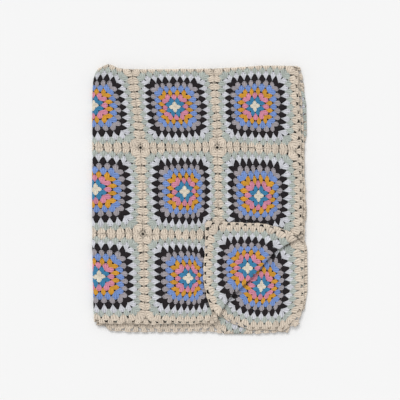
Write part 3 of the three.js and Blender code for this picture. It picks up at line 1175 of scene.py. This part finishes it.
class Bench:
    """The node tree of one material."""

    bump_distance = 0.0006
    noise_roughness = 0.6

    def __init__(self, name: str) -> None:
        """Start a material of that name with one Principled shader."""
        self.material = bpy.data.materials.new(name)
        self.material.use_nodes = True
        self.tree = self.material.node_tree
        self.tree.nodes.clear()
        self.shader = self.tree.nodes.new("ShaderNodeBsdfPrincipled")
        output = self.tree.nodes.new("ShaderNodeOutputMaterial")
        self.tree.links.new(self.shader.outputs[0], output.inputs["Surface"])

    def node(self, kind: str, values: dict, **settings: object) -> bpy.types.Node:
        """Add any node.

        Args:
            kind: The node's type, without its ShaderNode prefix.
            values: Values or wires of its sockets, by name or number.
            settings: Its properties, set first.

        Returns:
            The node.
        """
        made = self.tree.nodes.new(f"ShaderNode{kind}")
        for name, value in settings.items():
            setattr(made, name, value)
        for name, value in values.items():
            self.feed(made.inputs[name], value)
        return made

    def finish(self, piece: bpy.types.Object, **values: object) -> None:
        """Set the shader's sockets, by name with _ for a space, and give a piece the material."""
        for name, value in values.items():
            self.feed(self.shader.inputs[name.replace("_", " ")], value)
        piece.data.materials.append(self.material)

    def feed(self, socket: bpy.types.NodeSocket, value: object) -> None:
        """Set a socket's value, or link a wire to it."""
        if isinstance(value, Wire):
            self.tree.links.new(value.socket, socket)
        else:
            socket.default_value = value

    def wire(self, made: bpy.types.Node, output: str | int = 0) -> "Wire":
        """One output of a node, as a wire."""
        return Wire(self, made.outputs[output])

    def attribute(self, name: str, output: str) -> "Wire":
        """An attribute of the mesh, as a wire."""
        return self.wire(self.node("Attribute", {}, attribute_name=name), output)

    def mix(self, factor: "Wire | float", first: object, second: object) -> "Wire":
        """Mix two colours."""
        values = {0: factor, 6: first, 7: second}
        return self.wire(self.node("Mix", values, data_type="RGBA"), 2)

    def tinted(self, colour: object, factor: "Wire") -> "Wire":
        """A colour, made lighter or darker by a factor."""
        values = {0: colour, "Scale": factor}
        return self.wire(self.node("VectorMath", values, operation="SCALE"))

    def noise(self, at: "Wire", scale: float, detail: float = 2.0) -> "Wire":
        """Noise over a vector, about 0.5."""
        values = {"Vector": at, "Scale": scale, "Detail": detail}
        values["Roughness"] = self.noise_roughness
        return self.wire(self.node("TexNoise", values))

    def bump(self, height: "Wire", strength: float) -> "Wire":
        """A normal that follows a height."""
        values = {"Height": height, "Strength": strength, "Distance": self.bump_distance}
        return self.wire(self.node("Bump", values))


@dataclass(frozen=True)
class Wire:
    """A value that runs between nodes, with arithmetic that adds Math nodes."""

    bench: Bench
    socket: bpy.types.NodeSocket

    def maths(self, operation: str, first: object, second: object = 0.0) -> "Wire":
        """One Math node.

        Args:
            operation: The node's operation.
            first: Its first value.
            second: Its second value.

        Returns:
            The result.
        """
        made = self.bench.node("Math", {0: first, 1: second}, operation=operation)
        return self.bench.wire(made)

    def __add__(self, other: object) -> "Wire":
        """Sum."""
        return self.maths("ADD", self, other)

    def __sub__(self, other: object) -> "Wire":
        """Difference."""
        return self.maths("SUBTRACT", self, other)

    def __rsub__(self, other: object) -> "Wire":
        """Difference, reflected."""
        return self.maths("SUBTRACT", other, self)

    def __mul__(self, other: object) -> "Wire":
        """Product."""
        return self.maths("MULTIPLY", self, other)

    __radd__, __rmul__ = __add__, __mul__

    def sine(self) -> "Wire":
        """Sine."""
        return self.maths("SINE", self)

    def cosine(self) -> "Wire":
        """Cosine."""
        return self.maths("COSINE", self)


# how much darker the painted shade makes cloth that other layers cover
BURIED_PAINTED_SHADE = 0.8


@dataclass(frozen=True)
class YarnFinish:
    """Soft matt cotton yarn of two plies, with painted shade where its stitches press together and
    where other layers cover it.
    """

    yarn: Yarn
    roughness: float = 0.88
    shine: float = 0.12
    specular: float = 0.25
    sheen_roughness: float = 0.6
    bump: float = 0.6
    crevice_dark: float = 0.34
    blush_share: float = 0.3
    blush_scale: float = 60.0
    blush: tuple[float, ...] = (1.06, 0.95, 0.97, 1)
    tone_share: float = 0.075
    mottle_share: float = 0.32
    mottle_scale: float = 90.0
    fleck_share: float = 0.16
    fleck_scale: float = 520.0
    ply_length: float = 5.2
    ply_depth: float = 0.55

    def dress(self, piece: bpy.types.Object) -> None:
        """Give the piece this finish."""
        bench = Bench(self.yarn.slot)
        cloth = bench.attribute("cloth", "Vector")
        mottle = bench.noise(cloth, self.mottle_scale)
        fleck = bench.noise(cloth, self.fleck_scale)
        spots = self.mottle_share * (mottle - 0.5) + self.fleck_share * (fleck - 0.5)
        tone = self.tone_share * bench.attribute("tone", "Fac")
        shade = 1 + self.yarn.tension.uneven * spots + tone
        # painted shade between the stitches, where the posts meet and at their feet
        shade = shade * (1 - self.crevice_dark * bench.attribute("crevice", "Fac"))
        # painted shade: cloth that other layers cover is made darker
        shade = shade * (1 - BURIED_PAINTED_SHADE * bench.attribute("buried", "Fac"))
        blush = bench.noise(cloth, self.blush_scale, detail=1.0) * self.blush_share
        warmer = tuple(part * tip for part, tip in zip(self.yarn.colour, self.blush))
        own = bench.mix(blush, self.yarn.colour, warmer)
        parts = bench.node("SeparateXYZ", {0: bench.attribute("ply", "Vector")})
        along = bench.wire(parts, 2) * (2 * math.pi / self.ply_length)
        twist = bench.wire(parts, 0) * along.sine() + bench.wire(parts, 1) * along.cosine()
        bench.finish(
            piece,
            Base_Color=bench.tinted(own, shade),
            Normal=bench.bump(self.ply_depth * twist + fleck, self.bump),
            Roughness=self.roughness - self.shine * (fleck - 0.5),
            Specular_IOR_Level=self.specular,
            Sheen_Weight=self.yarn.sheen,
            Sheen_Roughness=self.sheen_roughness,
        )


@dataclass(frozen=True)
class BodyFinish:
    """The bodies of the clusters, a sheet behind their posts in their yarn's colour, made much
    darker as painted shade between the posts.
    """

    dark: float = 0.42
    darkest: float = 0.8
    fleck_share: float = 0.4
    fleck_scale: float = 420.0
    roughness: float = 0.95
    shine: float = 0.1
    specular: float = 0.1
    bump: float = 0.5

    def dress(self, piece: bpy.types.Object) -> None:
        """Give the piece this finish."""
        bench = Bench("cluster_bodies")
        fleck = bench.noise(bench.attribute("cloth", "Vector"), self.fleck_scale)
        tint = bench.attribute("tint", "Color")
        # painted shade: the bodies take the shade between the posts as a darker colour
        shade = self.dark * (self.darkest + self.fleck_share * fleck)
        # painted shade: bodies that other layers cover are made darker still
        shade = shade * (1 - BURIED_PAINTED_SHADE * bench.attribute("buried", "Fac"))
        bench.finish(
            piece,
            Base_Color=bench.tinted(tint, shade),
            Normal=bench.bump(fleck, self.bump),
            Roughness=self.roughness - self.shine * fleck,
            Specular_IOR_Level=self.specular,
        )


@dataclass(frozen=True)
class FloorFinish:
    """A plain pale floor."""

    grey: float = 0.895
    darkest: float = 0.995
    cloud_share: float = 0.01
    cloud_scale: float = 3.0
    roughness: float = 0.95
    specular: float = 0.1

    def dress(self, floor: bpy.types.Object) -> None:
        """Give the floor this finish."""
        bench = Bench("pale_floor")
        place = bench.wire(bench.node("TexCoord", {}), "Object")
        cloudy = bench.noise(place, self.cloud_scale)
        grey = (self.grey, self.grey, self.grey)
        bench.finish(
            floor,
            Base_Color=bench.tinted(grey, self.darkest + self.cloud_share * cloudy),
            Roughness=self.roughness,
            Specular_IOR_Level=self.specular,
        )


# ---- Studio ----


@dataclass(frozen=True)
class Studio:
    """The floor, the lights and the camera."""

    placer: Placer
    view_width: float = 1.24
    corner_right: float = 0.3233
    corner_down: float = 0.4002
    lens: float = 85.0
    sensor: float = 36.0
    floor_half: float = 3.0
    sky: float = 0.66
    sun: float = 1.62
    sun_spread: float = 26.0
    sun_from: tuple[float, float, float] = (-0.35, 0.85, 0.95)

    def camera(self) -> None:
        """Look straight down on the pile."""
        data = bpy.data.cameras.new("camera")
        data.lens, data.sensor_width = self.lens, self.sensor
        rig = linked("camera", data)
        shift = self.placer.shift
        far = self.view_width / 2 / (self.sensor / 2 / self.lens)
        rig.location = (self.corner_right + shift[0], shift[1] - self.corner_down, far)
        bpy.context.scene.camera = rig

    def floor(self) -> None:
        """Lay the floor under the pile."""
        half = self.floor_half
        mesh = bpy.data.meshes.new("floor")
        corners = [(-half, -half, 0), (half, -half, 0), (half, half, 0), (-half, half, 0)]
        mesh.from_pydata(corners, [], [(0, 1, 2, 3)])
        floor = linked("floor", mesh)
        FloorFinish().dress(floor)

    def sunlight(self) -> None:
        """Add one wide, soft light from the upper left."""
        data = bpy.data.lights.new("key", "SUN")
        data.energy, data.angle = self.sun, math.radians(self.sun_spread)
        lamp = linked("key", data)
        lamp.rotation_mode = "QUATERNION"
        lamp.rotation_quaternion = (-Vector(self.sun_from)).to_track_quat("-Z", "Y")

    def sky_light(self) -> None:
        """Set an even white sky."""
        world = bpy.data.worlds.new("studio")
        world.use_nodes = True
        back = world.node_tree.nodes["Background"]
        back.inputs["Color"].default_value = (1.0, 1.0, 1.0, 1.0)
        back.inputs["Strength"].default_value = self.sky
        bpy.context.scene.world = world

    def build(self) -> None:
        """Set up the studio."""
        self.camera()
        self.floor()
        self.sunlight()
        self.sky_light()
        bpy.context.scene.view_settings.view_transform = "Standard"


def corners(box: tuple[Vector, Vector]) -> list[list[float]]:
    """A box's lowest and highest corner as plain lists."""
    return [[float(value) for value in corner] for corner in box]


def main() -> None:
    """Build the throw and its studio."""
    logging.basicConfig(level=logging.INFO, format="%(name)s: %(message)s")
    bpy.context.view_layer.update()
    placer = Placer(FoldedPile())
    Studio(placer).build()
    log.info("studio built")
    sheet, pieces = CrochetedThrow(placer).build()
    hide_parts(NODE)
    placer.pile.flat_size


if __name__ == "__main__":
    main()
